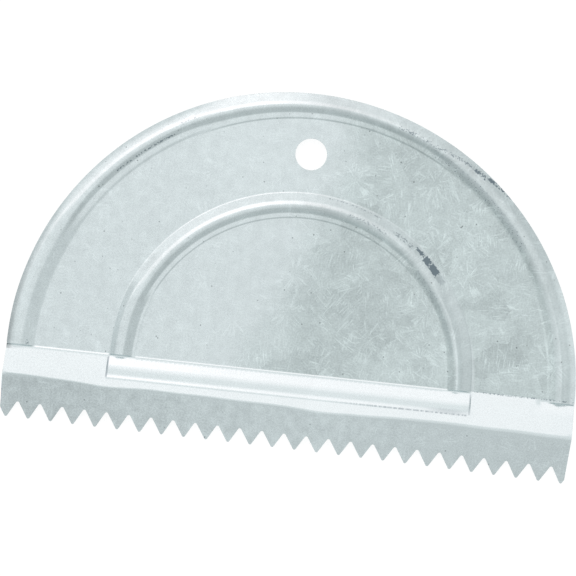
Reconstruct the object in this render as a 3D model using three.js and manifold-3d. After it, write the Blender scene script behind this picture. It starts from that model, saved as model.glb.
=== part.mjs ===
// A half-round adhesive spreader, pressed from one sheet of galvanised steel.
// It lies on its back: X runs along the teeth, Y from the teeth to the round edge, Z up to the front.
import * as THREE from "three";
import { mergeVertices } from "three/addons/utils/BufferGeometryUtils.js";
import Module from "manifold-3d";

const wasm = await Module();
wasm.setup();

// Driving dimensions, in millimetres and degrees
const sheetThickness = 0.7;
const blankRadius = 90;

// Bends: on its way down the band leans to the front by a positive tilt, and the toothed strip to the back
const bandTilt = 16;
const stripTilt = -20.6;
const upperBendHeight = 1.66;
const lowerBendDepth = 8.93;
const lowerBendRunLeft = 0.4;
const lowerBendRunRight = 2;
const stripLength = 14.4;

// Teeth, at their true size in the plane of the strip
const toothPitch = 7.043;
const toothAngle = 60;
const tipRadius = 0.5;
const rootRadius = 0.55;
const toothRowShift = 1.1;

// The press that forms the ribs sits a little askew on the blank
const pressSkew = 0.92;

// Section of a rib, from its inner foot outwards
const ribStepRun = 0.5;
const ribStepRise = 0.3;
const ribLedgeRun = 1.3;
const ribLedgeRise = 0.1;
const ribInnerRun = 1.5;
const ribInnerRise = 1.35;
const ribCrestRun = 0.6;
const ribCrestRise = 0.08;
const ribShoulderRun = 1;
const ribShoulderFall = 0.32;
const ribFlankRun = 3.2;

// Arc of the D-shaped rib
const arcFootRadius = 50.2;
const arcCentreRaise = 0.5;
const arcShift = 0.3;

// Raised rim along the round edge, whose foot was pressed off centre
const rimFlankRun = 3;
const rimFootShift = 1.1;

// Straight bar that closes the D below the upper bend, from its upper foot downwards
const barStepRun = 0.6;
const barStepRise = 0.1;
const barLedgeRun = 1;
const barLedgeRise = 0.32;
const barFlankRun = 1.7;
const barFlankRise = 0.76;
const barCrestRun = 1;
const barCrestRise = 0.3;
const barBackRun = 2.2;
const barBackRise = 0.3;
const barLipRun = 0.9;
const barLipRise = 0.38;
const barFootRun = 0.5;
const barEndInset = 0.7;
const barEndRun = 0.4;

// Hanging hole, a little off the middle of the plate between the D and the rim
const holeDiameter = 10;
const holeRaise = 0.2;
const holeShift = -1.35;

// Reach of the cuts past the sheet, and counts of facets
const overrun = 1;
const spokes = 66;
const outlineDivisions = 32;
const toothDivisions = 2;

// A back step's pull to the mean of its faces, and its most length over the sheet's thickness
const pullShare = 0.1;
const mostStepShare = 1.6;

const bandSlope = Math.tan(THREE.MathUtils.degToRad(bandTilt));
const stripSlope = Math.tan(THREE.MathUtils.degToRad(stripTilt));
const stripAngle = THREE.MathUtils.degToRad(stripTilt);
const skewAngle = THREE.MathUtils.degToRad(pressSkew);
const halfToothAngle = THREE.MathUtils.degToRad(toothAngle / 2);
const crestReach = ribStepRun + ribLedgeRun + ribInnerRun + ribCrestRun + ribShoulderRun;
const rimFootRadius = blankRadius - rimFlankRun - crestReach;
const arcTop = arcCentreRaise + arcFootRadius + crestReach + ribFlankRun;
const holeHeight = (arcTop + rimFootRadius) / 2 + holeRaise;

// From the press's frame, whose first axis is the upper bend line, to the blank's frame
function fromPress(along, above) {
  return new THREE.Vector2(
    along * Math.cos(skewAngle) - above * Math.sin(skewAngle),
    upperBendHeight + along * Math.sin(skewAngle) + above * Math.cos(skewAngle),
  );
}

// How far above the upper bend line a column of the press meets a level of the blank
function aboveAtLevel(along, level) {
  return (level - upperBendHeight - along * Math.sin(skewAngle)) / Math.cos(skewAngle);
}

// The lower bend is sharp at the left end and softer towards the right end
function lowerBendRun(x) {
  const share = (x + blankRadius) / (2 * blankRadius);
  return Math.max(THREE.MathUtils.lerp(lowerBendRunLeft, lowerBendRunRight, share), 0);
}

// Height of the front over a point of the bent sheet, before any rib is pressed
function bentHeight(point) {
  const fromUpperBend = (upperBendHeight - point.y) * Math.cos(skewAngle);
  const belowUpper = Math.max(fromUpperBend + point.x * Math.sin(skewAngle), 0);
  const belowLower = Math.max(-lowerBendDepth - point.y, 0);
  const run = lowerBendRun(point.x);
  const turned = THREE.MathUtils.clamp(run - lowerBendDepth - point.y, 0, run);
  const extraSlope = stripSlope - bandSlope;
  return sheetThickness + belowUpper * bandSlope + (turned / 2 + belowLower) * extraSlope;
}

// Rings of a rib from its inner foot to the end of its shoulder
function crestRings(footRadius, footShift, crestShift, centreDepth) {
  const runs = [0, ribStepRun, ribLedgeRun, ribInnerRun, ribCrestRun, ribShoulderRun];
  const rises = [0, ribStepRise, ribLedgeRise, ribInnerRise, ribCrestRise, -ribShoulderFall];
  const fullRun = runs.reduce((sum, run) => sum + run);
  let run = 0;
  let rise = 0;
  return runs.map((nextRun, i) => {
    run += nextRun;
    rise += rises[i];
    const shift = THREE.MathUtils.lerp(footShift, crestShift, run / fullRun);
    return { radius: footRadius + run, shift, centreDepth, rise };
  });
}

// A ring farther out on the straight outer flank of a rib
function flankRing(shoulder, run) {
  const slope = shoulder.rise / ribFlankRun;
  return { ...shoulder, radius: shoulder.radius + run, rise: shoulder.rise - run * slope };
}

// All rings of the plate from the foot of the D to past the round edge
function plateRings() {
  const arcRings = crestRings(arcFootRadius, arcShift, arcShift, upperBendHeight - arcCentreRaise);
  const arcShoulder = arcRings.at(-1);
  const barEnd = flankRing(arcShoulder, ribFlankRun - barEndInset);
  const outerFoot = flankRing(arcShoulder, ribFlankRun);
  const rimRings = crestRings(rimFootRadius, rimFootShift, 0, upperBendHeight);
  const rimEdge = flankRing(rimRings.at(-1), rimFlankRun);
  const past = { ...rimEdge, radius: rimEdge.radius + overrun };
  barEnd.barSide = -barEndRun / 2;
  outerFoot.barSide = barEndRun / 2;
  arcRings.forEach((ring) => {
    ring.inBar = true;
  });
  barEnd.inBar = true;
  return [...arcRings, barEnd, outerFoot, ...rimRings, rimEdge, past];
}

// Where a ring ends on the upper bend line, from its own middle
function ringReach(ring) {
  return Math.sqrt(ring.radius ** 2 - ring.centreDepth ** 2);
}

function addPoint(net, point, z) {
  net.points.push(new THREE.Vector3(point.x, point.y, z));
  return net.points.length - 1;
}

// Two triangles for each cell between two rows of points, the second on the left of the first
function joinRows(net, first, second) {
  for (let i = 0; i + 1 < first.length; i++) {
    net.triangles.push([first[i], first[i + 1], second[i + 1]]);
    net.triangles.push([first[i], second[i + 1], second[i]]);
  }
}

// The points of one ring, from its right end on the upper bend line to its left end
function ringPoints(net, ring) {
  const start = Math.asin(ring.centreDepth / ring.radius);
  return Array.from({ length: spokes + 1 }, (_, i) => {
    const angle = THREE.MathUtils.lerp(start, Math.PI - start, i / spokes);
    const along = ring.shift + ring.radius * Math.cos(angle);
    const above = ring.radius * Math.sin(angle) - ring.centreDepth;
    return addPoint(net, fromPress(along, above), sheetThickness + ring.rise);
  });
}

// Rows of the bar below the upper bend line: how far down, and the front's rise over the plate
function barRows() {
  const runs = [barStepRun, barLedgeRun, barFlankRun, barCrestRun, barBackRun, barLipRun];
  const rises = [barStepRise, barLedgeRise, barFlankRise, barCrestRise, barBackRise, barLipRise];
  let depth = 0;
  let rise = 0;
  return runs.map((run, i) => {
    depth += run;
    rise += rises[i];
    return { depth, rise };
  });
}

// The points of one column below the upper bend line, from its top point down
function columnPoints(net, column) {
  const { along, top, inBar } = column;
  const rows = barRows();
  const points = rows.map(({ depth, rise }) => {
    const point = fromPress(along, -depth);
    return addPoint(net, point, inBar ? sheetThickness + rise : bentHeight(point));
  });
  const barFoot = -(rows.at(-1).depth + barFootRun);
  const lowerBendTop = lowerBendRun(along) - lowerBendDepth;
  const levels = [lowerBendTop, -lowerBendDepth, -lowerBendDepth - stripLength - overrun];
  const depths = [barFoot, ...levels.map((level) => aboveAtLevel(along, level))];
  depths.forEach((above) => {
    const point = fromPress(along, above);
    points.push(addPoint(net, point, bentHeight(point)));
  });
  return [top, ...points];
}

// Front of the pressed sheet, as a net of triangles that reaches past the blank all round
function pressedFront() {
  const net = { points: [], triangles: [] };
  const rings = plateRings();
  const rows = rings.map((ring) => ringPoints(net, ring));
  const centre = addPoint(net, fromPress(arcShift, 0), sheetThickness);
  joinRows(net, rows[0], Array(spokes + 1).fill(centre));
  rows.slice(1).forEach((row, i) => joinRows(net, row, rows[i]));

  const outerFoot = rings.find((ring) => ring.barSide > 0);
  const barHalfLength = ringReach(outerFoot) - barEndInset;
  const columnsOf = (side, end) =>
    rings.map((ring, i) => {
      const reach = ring.barSide ? barHalfLength + ring.barSide : ringReach(ring);
      return { along: ring.shift + side * reach, top: rows[i][end], inBar: ring.inBar };
    });
  const columns = [
    ...columnsOf(-1, spokes).reverse(),
    { along: arcShift, top: centre, inBar: true },
    ...columnsOf(1, 0),
  ].map((column) => columnPoints(net, column));
  columns.slice(1).forEach((column, i) => joinRows(net, columns[i], column));
  net.triangles = net.triangles.filter(([a, b, c]) => a !== b && b !== c && c !== a);
  return net;
}

// For each point, the step that carries it one sheet thickness back from all the faces round it
function backSteps(net) {
  const sums = net.points.map(() => ({
    lean: new THREE.Vector3(),
    spread: new THREE.Matrix3().identity().multiplyScalar(pullShare),
  }));
  net.triangles.forEach((corners) => {
    const [a, b, c] = corners.map((i) => net.points[i]);
    const normal = new THREE.Triangle(a, b, c).getNormal(new THREE.Vector3());
    const axes = normal.toArray();
    corners.forEach((corner, i) => {
      const point = net.points[corner];
      const toBefore = net.points[corners[(i + 2) % 3]].clone().sub(point);
      const toAfter = net.points[corners[(i + 1) % 3]].clone().sub(point);
      const angle = toBefore.angleTo(toAfter);
      const { lean, spread } = sums[corner];
      lean.addScaledVector(normal, angle);
      spread.elements.forEach((_, j) => {
        spread.elements[j] += angle * axes[j % 3] * axes[Math.floor(j / 3)];
      });
    });
  });
  return sums.map(({ lean, spread }) => {
    const pull = lean.clone().setLength(pullShare);
    const step = lean.add(pull).multiplyScalar(-sheetThickness);
    return step.applyMatrix3(spread.invert()).clampLength(0, mostStepShare * sheetThickness);
  });
}

// A closed sheet of even thickness behind a net of triangles
function thicken(net) {
  const count = net.points.length;
  const backs = backSteps(net).map((step, i) => step.add(net.points[i]));
  const points = [...net.points, ...backs];
  const index = [];
  const edges = new Set(net.triangles.flatMap(([a, b, c]) => [`${a} ${b}`, `${b} ${c}`, `${c} ${a}`]));
  net.triangles.forEach(([a, b, c]) => {
    index.push(a, b, c, count + a, count + c, count + b);
  });
  edges.forEach((edge) => {
    const [a, b] = edge.split(" ").map(Number);
    if (!edges.has(`${b} ${a}`)) index.push(b, a, count + a, b, count + a, count + b);
  });
  const geometry = new THREE.BufferGeometry().setFromPoints(points);
  return geometry.setIndex(index);
}

// Outline of the flat blank, with the hanging hole, drawn on past the teeth and above and below the sheet
function blankCutter(bottom, top) {
  const skirt = lowerBendDepth + stripLength;
  const outline = new THREE.Shape();
  outline.moveTo(-blankRadius, -skirt);
  outline.lineTo(blankRadius, -skirt);
  outline.lineTo(blankRadius, 0);
  outline.absarc(0, 0, blankRadius, 0, Math.PI, false);
  outline.closePath();
  const hole = new THREE.Path();
  hole.absarc(holeShift, holeHeight, holeDiameter / 2, 0, 2 * Math.PI, true);
  outline.holes.push(hole);
  const settings = { depth: top - bottom, bevelEnabled: false, curveSegments: outlineDivisions };
  return new THREE.ExtrudeGeometry(outline, settings).translate(0, 0, bottom);
}

// Everything below the row of teeth, square to the plane of the toothed strip
function toothCutter() {
  const rounding = 1 / Math.sin(halfToothAngle) - 1;
  const sharpDepth = toothPitch / 2 / Math.tan(halfToothAngle);
  const toothDepth = sharpDepth - (tipRadius + rootRadius) * rounding;
  const pitches = Math.ceil(blankRadius / toothPitch) + 1;
  const tipCentre = tipRadius - stripLength;
  const rootCentre = toothDepth - stripLength - rootRadius;
  const outline = new THREE.Shape();
  for (let i = -pitches; i < pitches; i++) {
    const tip = toothRowShift + (i + 1 / 2) * toothPitch;
    const root = tip + toothPitch / 2;
    outline.absarc(tip, tipCentre, tipRadius, Math.PI + halfToothAngle, -halfToothAngle, false);
    outline.absarc(root, rootCentre, rootRadius, Math.PI - halfToothAngle, halfToothAngle, true);
  }
  const reach = (pitches + 1) * toothPitch;
  outline.lineTo(reach + toothRowShift, -stripLength - toothPitch);
  outline.lineTo(toothRowShift - reach, -stripLength - toothPitch);
  outline.closePath();
  const depth = 2 * toothPitch;
  const settings = { depth, bevelEnabled: false, curveSegments: toothDivisions };
  const cutter = new THREE.ExtrudeGeometry(outline, settings).translate(0, 0, -depth / 2);
  const bend = new THREE.Vector2(0, -lowerBendDepth);
  return cutter.rotateX(-stripAngle).translate(bend.x, bend.y, bentHeight(bend));
}

// A closed geometry as a solid that can be cut
function solidOf(geometry) {
  geometry.deleteAttribute("normal");
  geometry.deleteAttribute("uv");
  const merged = mergeVertices(geometry);
  return new wasm.Manifold(
    new wasm.Mesh({
      numProp: 3,
      vertProperties: new Float32Array(merged.attributes.position.array),
      triVerts: new Uint32Array(merged.index.array),
    }),
  );
}

function geometryOf(solid) {
  const { vertProperties, triVerts } = solid.getMesh();
  const geometry = new THREE.BufferGeometry();
  geometry.setAttribute("position", new THREE.BufferAttribute(vertProperties, 3));
  geometry.setIndex(new THREE.BufferAttribute(triVerts, 1));
  geometry.computeVertexNormals();
  return geometry;
}

// The one piece of the tool: the sheet is pressed and bent, then cut to the blank's outline
function makeSpreaderSheet() {
  const front = pressedFront();
  const levels = front.points.map((point) => point.z);
  const bottom = Math.min(...levels) - mostStepShare * sheetThickness - overrun;
  const top = Math.max(...levels) + overrun;
  const solid = solidOf(thicken(front))
    .intersect(solidOf(blankCutter(bottom, top)))
    .subtract(solidOf(toothCutter()));
  const finish = { color: 0xc8d2d3, roughness: 0.42, metalness: 0.9, flatShading: true };
  const sheet = new THREE.Mesh(geometryOf(solid), new THREE.MeshStandardMaterial(finish));
  sheet.name = "spreader_sheet";
  return sheet;
}

// The origin is under the middle of the tool, on the surface that it lies on
const spreader = new THREE.Group();
const sheet = makeSpreaderSheet();
const box = new THREE.Box3().setFromObject(sheet);
const middle = box.getCenter(new THREE.Vector3());
sheet.position.set(-middle.x, -middle.y, -box.min.z);
spreader.add(sheet);

export default spreader;
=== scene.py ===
import math

import bpy
import numpy as np
from mathutils.geometry import delaunay_2d_cdt
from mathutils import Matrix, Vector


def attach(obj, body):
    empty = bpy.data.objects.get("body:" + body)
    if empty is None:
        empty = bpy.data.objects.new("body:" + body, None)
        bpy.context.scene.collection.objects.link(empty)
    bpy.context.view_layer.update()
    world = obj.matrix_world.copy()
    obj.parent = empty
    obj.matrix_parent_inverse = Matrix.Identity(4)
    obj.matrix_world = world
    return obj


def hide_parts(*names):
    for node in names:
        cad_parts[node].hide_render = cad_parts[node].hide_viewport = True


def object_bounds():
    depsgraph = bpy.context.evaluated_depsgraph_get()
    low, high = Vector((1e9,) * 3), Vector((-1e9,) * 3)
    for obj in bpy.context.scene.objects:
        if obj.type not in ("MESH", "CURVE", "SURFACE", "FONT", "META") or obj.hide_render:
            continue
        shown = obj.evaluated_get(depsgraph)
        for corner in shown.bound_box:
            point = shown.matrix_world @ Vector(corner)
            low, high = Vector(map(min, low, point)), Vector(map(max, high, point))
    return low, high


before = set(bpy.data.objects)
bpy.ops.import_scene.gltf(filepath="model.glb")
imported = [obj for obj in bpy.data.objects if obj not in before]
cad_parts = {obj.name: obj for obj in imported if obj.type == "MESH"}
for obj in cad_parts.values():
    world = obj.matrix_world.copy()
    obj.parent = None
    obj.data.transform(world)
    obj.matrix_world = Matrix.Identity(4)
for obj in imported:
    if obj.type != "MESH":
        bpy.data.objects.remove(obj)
cad_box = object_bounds()

# Sizes of the flat blank, in millimetres and degrees, with X along the teeth and Y to the round edge
BLANK_RADIUS = 90.0
SHEET_THICKNESS = 0.7
OUTLINE_SHIFT = 0.12
OUTLINE_LOBES = 3.0
OUTLINE_LOBE = 0.36
OUTLINE_LOBE_ANGLE = 8.0
OUTLINE_LEFT_TRIM = 0.26
OUTLINE_TRIM_START = 0.94 * math.pi
OUTLINE_FLAT = 0.12

# The band leans to the front and the toothed strip to the back
BAND_SLOPE = math.tan(math.radians(16.0))
STRIP_SLOPE = math.tan(math.radians(-19.4))
UPPER_BEND_HEIGHT = 1.66
UPPER_TURN = 0.2
LOWER_BEND_DEPTH = 8.93
LOWER_TURN_LEFT = 0.2
LOWER_TURN_RIGHT = 0.75
LOWER_TURN_POWER = 1.5
STRIP_LENGTH = 14.4

# The lower bend dips twice, each by a depth around an X over a width, has a ripple and rises to the right
BEND_DIPS = [(0.7, -57.5, 10.0), (0.62, 12.5, 7.0)]
BEND_RIPPLE = 0.06
BEND_RIPPLE_RUN = 3.1
BEND_RISE = 0.85
BEND_RISE_SPAN = (22.0, 48.0)

# The upper bend steps down where it reaches the right end of the rim
END_STEP = 0.75
END_STEP_SPAN = (78.0, 80.2)
END_STEP_FADE = (0.8, 4.0)

# Right under the upper bend the band is pinched: how far down, by what slope and half the length of the turn
PINCH_TURNS = [(0.0, 0.12, 0.12), (0.45, -0.28, 0.12), (0.9, 0.16, 0.15)]
PINCH_END_SPAN = (55.0, 59.0)

# The plate has shallow waves
BROAD_WAVE = 0.03
BROAD_WAVE_RUNS = (17.0, 13.0)
BROAD_WAVE_START = 0.6
SLANTED_WAVE = 0.02
SLANTED_WAVE_RUNS = (9.0, 11.0)
WAVE_FADE = 8.0

# Teeth, at their true size in the plane of the strip
TOOTH_PITCH = 7.043
TOOTH_ANGLE = 60.0
TIP_RADIUS = 0.5
ROOT_RADIUS = 0.55
TOOTH_ROW_SHIFT = 1.04
TOOTH_ROW_STRETCH = 0.38
TOOTH_ROW_SAG = 0.65
TOOTH_ROW_SAG_MIDDLE = 15.0
TOOTH_ROW_SAG_WIDTH = 55.0
ROOT_SAG_SHARE = 0.35
ROOT_SHIFT = -0.18
ROOT_SHIFT_SPAN = (-85.0, -20.0)

# The press that forms the ribs sits a little askew on the blank
PRESS_SKEW = math.radians(0.92)

# Sections: how far from the foot, how high there, and half the length over which the slope turns
RIB_WIDTH = 8.1
RIB_SECTION = [
    (-0.1, 0.0, 0.12),
    (0.35, 0.26, 0.15),
    (1.65, 0.34, 0.3),
    (2.9, 1.52, 0.5),
    (4.0, 1.83, 0.4),
    (5.2, 1.45, 0.4),
    (RIB_WIDTH, 0.0, 0.28),
]
WORN_SECTION = [
    (-0.1, 0.0, 0.25),
    (0.2, 0.12, 0.3),
    (2.2, 1.5, 0.5),
    (3.1, 1.83, 0.4),
    (4.6, 1.6, 0.6),
    (RIB_WIDTH, 0.0, 0.3),
]
LEFT_LEG_SECTION = [
    (-0.45, 0.0, 0.12),
    (-0.1, 0.13, 0.15),
    (0.6, 0.18, 0.25),
    (3.45, 1.88, 0.35),
    (4.1, 1.97, 0.3),
    (5.7, 1.85, 0.4),
    (8.0, 0.0, 0.3),
]
RIGHT_LEG_SECTION = [
    (0.3, 0.0, 0.2),
    (2.3, 1.55, 0.4),
    (2.9, 1.83, 0.3),
    (3.4, 1.79, 0.2),
    (5.0, 1.05, 0.6),
    (7.9, 0.12, 0.3),
    (RIB_WIDTH, 0.0, 0.1),
]
RIM_SECTION = [
    (-0.4, 0.0, 0.12),
    (0.1, 0.33, 0.15),
    (1.65, 0.41, 0.3),
    (2.8, 1.52, 0.5),
    (3.7, 1.83, 0.4),
    (4.8, 1.5, 0.4),
    (8.4, 0.0, 0.1),
]
RIM_SOFT_SECTION = [
    (0.0, 0.0, 0.15),
    (0.8, 0.42, 0.2),
    (2.15, 0.5, 0.3),
    (3.4, 1.7, 0.4),
    (4.15, 1.83, 0.4),
    (5.4, 1.45, 0.6),
    (7.2, 0.65, 0.8),
    (8.9, -0.4, 0.1),
]
RIM_LEFT_SECTION = [
    (-0.5, 0.0, 0.3),
    (-0.1, 0.11, 0.3),
    (3.1, 2.0, 0.45),
    (4.2, 2.1, 0.5),
    (5.6, 1.95, 0.6),
    (7.2, 1.2, 0.7),
    (8.9, -0.35, 0.1),
]
RIM_WORN_SECTION = [
    (-0.7, 0.0, 0.3),
    (-0.2, 0.12, 0.4),
    (2.2, 1.55, 0.5),
    (3.2, 1.83, 0.5),
    (5.2, 1.6, 0.6),
    (8.5, 0.0, 0.1),
]
RIM_RIGHT_SECTION = [
    (-1.2, 0.0, 0.3),
    (-0.6, 0.12, 0.3),
    (2.4, 1.62, 0.4),
    (3.4, 1.83, 0.3),
    (5.4, 1.3, 0.6),
    (6.8, 0.8, 0.4),
    (8.9, 0.55, 0.1),
]
BAR_SECTION = [
    (0.0, 0.0, 0.1),
    (0.35, 0.14, 0.1),
    (0.75, 0.18, 0.15),
    (1.5, 0.45, 0.3),
    (3.4, 1.22, 0.4),
    (4.4, 1.52, 0.6),
    (6.5, 1.84, 0.4),
    (7.4, 2.1, 0.2),
]
BAR_LENGTH_DOWN = 7.9
BAR_FOOT = (BAR_LENGTH_DOWN, 0.0, 0.15)
LIP_SECTION = [(6.5, 0.0, 0.4), (7.4, 0.1, 0.2), BAR_FOOT]
LIP_FADE_SPAN = (18.0, 48.0)

# Where the ribs have another section than elsewhere, in degrees around the arc and around the rim
ARC_OTHER = [
    (RIGHT_LEG_SECTION, -30.0, 36.0, 4.0),
    (WORN_SECTION, 36.0, 48.0, 4.0),
    (LEFT_LEG_SECTION, 155.0, 200.0, 5.0),
]
RIM_OTHER = [
    (RIM_RIGHT_SECTION, -30.0, 26.0, 4.0),
    (RIM_WORN_SECTION, 26.0, 58.0, 4.0),
    (RIM_SOFT_SECTION, 114.0, 149.0, 6.0),
    (RIM_LEFT_SECTION, 149.0, 200.0, 6.0),
]

# The D-shaped rib, the raised rim and the ends of both
ARC_FOOT_RADIUS = 50.3
ARC_CENTRE_DEPTH = 1.6
ARC_SHIFT = 0.3
ARC_SQUEEZE = 0.017
ARC_SQUEEZE_HEIGHT = 24.0
RIM_FOOT_RADIUS = 82.1
RIM_FOOT_SHIFT = 1.1
RIM_CENTRE_DEPTH = UPPER_BEND_HEIGHT
RIM_SHIFT_RUN = 4.5
RIB_END_RUN = 0.5
BAR_HALF_LENGTH = 57.6
BAR_END_RUN = 0.4

# Hanging hole
HOLE_RADIUS = 5.0
HOLE_X = -1.35
HOLE_Y = 70.65

# Edges of the sheet are a little rounded, and its back turns more softly than its front
EDGE_ROUNDING = 0.07
BACK_SOFTNESS = 0.45
BACK_SLOPE_STEP = 0.05

# The net of the mesh, in millimetres: its points lie close together where the sheet turns
LONGEST_SIDE = 1.3
ROUND_EDGE_POINTS = 241
TOOTH_ARC_POINTS = 7
HOLE_POINTS = 96
HOLE_RING_POINTS = 48
HOLE_RINGS = (0.5, 1.6)
NET_MARGIN = 0.2
NET_LOWEST = -16.2
STATION_SPACING = 0.3
TURN_SHARES = (-1.0, -0.33, 0.33, 1.0)
STATION_GAP = 0.09
COLUMN_GAP = 0.12
BAR_COLUMN_GAP = 0.08
COLUMN_SPACING = 1.5
ARC_ROWS = 131
RIM_ROWS = 201
RIM_FIRST_STATIONS = np.arange(-1.4, 0.0, 0.35)
INNER_ROWS = 53
INNER_STATIONS = np.array([-1.5, -4.0])
OUTER_ROWS = 67
OUTER_STATIONS = np.arange(RIB_WIDTH + 1.2, 31.0, 3.2)
RINGS_LOWEST = 1.3
PLATE_COLUMNS = np.arange(-44.0, 44.1, 4.0)
PLATE_ROWS = np.arange(3.0, 46.0, 4.0)
PLATE_NET_GAP = 5.5
BEND_ROWS = [1.0, 0.6, 0.35, 0.2, 0.08, -0.04, -0.16, -0.28, -0.4, -0.5, -0.62, -0.8, -1.0, -1.3]
BEND_HALF_LENGTH = 89.0
END_STEP_COLUMNS = np.arange(77.6, 80.7, 0.3)
BAR_TOP_ROW = -1.35
BAR_END_COLUMNS = np.arange(-0.6, 0.21, 0.1)
BAR_NET_HALF_LENGTH = 58.5
BAND_ROWS = [-2.2, -3.6, -5.0, -6.4]
BAND_COLUMNS = np.arange(-88.5, 89.0, COLUMN_SPACING)
BAND_NET_START = 59.0
LOWER_BEND_COLUMNS = np.arange(-89.2, 89.4, 1.2)
LOWER_BEND_SHARES = (-2.2, -1.5, -1.0, -0.6, -0.2, 0.2, 0.6, 1.0, 1.5, 2.4)
LOWER_BEND_LEAST_TURN = 0.25
STRIP_COLUMNS = np.arange(-88.0, 89.0, 4.0)
STRIP_ROWS = (-12.5, -15.0)

# Where the photograph was taken from: its centre over the blank, its distance and its turn
VIEW_CENTRE = (-3.51, 27.98)
VIEW_DISTANCE = 553.0
VIEW_WIDTH = 181.47
VIEW_TURN = math.radians(6.96)
SENSOR_WIDTH = 36.0

STRIP_COSINE = math.cos(math.atan(STRIP_SLOPE))
METRES = (cad_box[1].x - cad_box[0].x) / (2 * BLANK_RADIUS)
BLANK_CENTRE_Y = cad_box[1].y / METRES - BLANK_RADIUS


# Shape of the front: heights over the plate's back, in millimetres


def smooth_step(x, low, high):
    share = np.clip((x - low) / (high - low), 0.0, 1.0)
    return share * share * (3.0 - 2.0 * share)


def bell(x, middle, width):
    return np.exp(-(((x - middle) / width) ** 2))


def ramp(x, half_turn):
    """Nothing before zero and x after it, with a round turn between."""
    turning = (np.clip(x, -half_turn, half_turn) + half_turn) ** 2 / (4.0 * half_turn)
    return turning + np.maximum(x - half_turn, 0.0)


def section_height(x, section):
    """Height of a section at x past its foot. It is level before its first knot and after its last."""
    height = np.zeros_like(x)
    slope = 0.0
    for (start, low, half_turn), (stop, high, _) in zip(section, section[1:]):
        next_slope = (high - low) / (stop - start)
        height += (next_slope - slope) * ramp(x - start, half_turn)
        slope = next_slope
    end, _, half_turn = section[-1]
    return height - slope * ramp(x - end, half_turn)


def within(angle, low, high, fade):
    """1 between two angles, and 0 a little outside them."""
    return smooth_step(angle, low - fade, low + fade) * (1.0 - smooth_step(angle, high - fade, high + fade))


def to_press(x, y):
    """From the blank's frame to the press's: along the upper bend line, and above it."""
    up = y - UPPER_BEND_HEIGHT
    along = x * math.cos(PRESS_SKEW) + up * math.sin(PRESS_SKEW)
    above = up * math.cos(PRESS_SKEW) - x * math.sin(PRESS_SKEW)
    return along, above


def from_press(along, above):
    x = along * math.cos(PRESS_SKEW) - above * math.sin(PRESS_SKEW)
    y = UPPER_BEND_HEIGHT + along * math.sin(PRESS_SKEW) + above * math.cos(PRESS_SKEW)
    return x, y


def squeeze(above):
    """Both legs of the arc lean inwards where they come down to the bend."""
    return 1.0 + ARC_SQUEEZE * (1.0 - smooth_step(above, 0.0, ARC_SQUEEZE_HEIGHT))


def upper_bend_drop(along, above):
    """The upper bend steps down where it reaches the right end of the rim."""
    return END_STEP * smooth_step(along, *END_STEP_SPAN) * (1.0 - smooth_step(-above, *END_STEP_FADE))


def on_bar(along):
    """1 along the bar, and 0 past its ends."""
    return 1.0 - smooth_step(np.abs(along - ARC_SHIFT), BAR_HALF_LENGTH - BAR_END_RUN, BAR_HALF_LENGTH)


def lower_bend_line(x):
    """The lower bend wanders a little."""
    wander = sum(depth * bell(x, middle, width) for depth, middle, width in BEND_DIPS)
    wander = wander + BEND_RIPPLE * np.sin(x / BEND_RIPPLE_RUN)
    return -LOWER_BEND_DEPTH - wander + BEND_RISE * smooth_step(x, *BEND_RISE_SPAN)


def lower_turn(x):
    share = np.clip((x + BLANK_RADIUS) / (2.0 * BLANK_RADIUS), 0.0, 1.0)
    return LOWER_TURN_LEFT + (LOWER_TURN_RIGHT - LOWER_TURN_LEFT) * share ** LOWER_TURN_POWER


def rim_ring(along, above):
    """Radius of the rim's ring through a point: the rings' centres move from the foot to the crest."""
    up = above + RIM_CENTRE_DEPTH
    radius = np.hypot(along, up)
    for _ in range(4):
        share = np.clip((radius - RIM_FOOT_RADIUS) / RIM_SHIFT_RUN, 0.0, 1.0)
        radius = np.hypot(along - RIM_FOOT_SHIFT * (1.0 - share), up)
    return radius


def rib_height(past_foot, angle, section, others):
    """Height of a rib at a distance past its inner foot."""
    height = section_height(past_foot, section)
    change = np.zeros_like(height)
    for other, low, high, fade in others:
        change += within(angle, low, high, fade) * (section_height(past_foot, other) - height)
    return height + change


def plate_wave(x, y):
    run_x, run_y = BROAD_WAVE_RUNS
    wave = BROAD_WAVE * np.sin(x / run_x + BROAD_WAVE_START) * np.cos(y / run_y)
    run_x, run_y = SLANTED_WAVE_RUNS
    return wave + SLANTED_WAVE * np.sin(x / run_x - y / run_y)


def sheet_height(x, y):
    """The bent sheet before any rib is pressed."""
    along, above = to_press(x, y)
    below = -above - upper_bend_drop(along, above)
    pinch = sum(slope * ramp(below - start, half_turn) for start, slope, half_turn in PINCH_TURNS)
    pinch *= (1.0 - on_bar(along)) * (1.0 - smooth_step(along, *PINCH_END_SPAN))
    band = BAND_SLOPE * ramp(below, UPPER_TURN)
    strip = (STRIP_SLOPE - BAND_SLOPE) * ramp(lower_bend_line(x) - y, lower_turn(x))
    return band + strip + pinch + plate_wave(x, y) * smooth_step(above, 0.0, WAVE_FADE)


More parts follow.
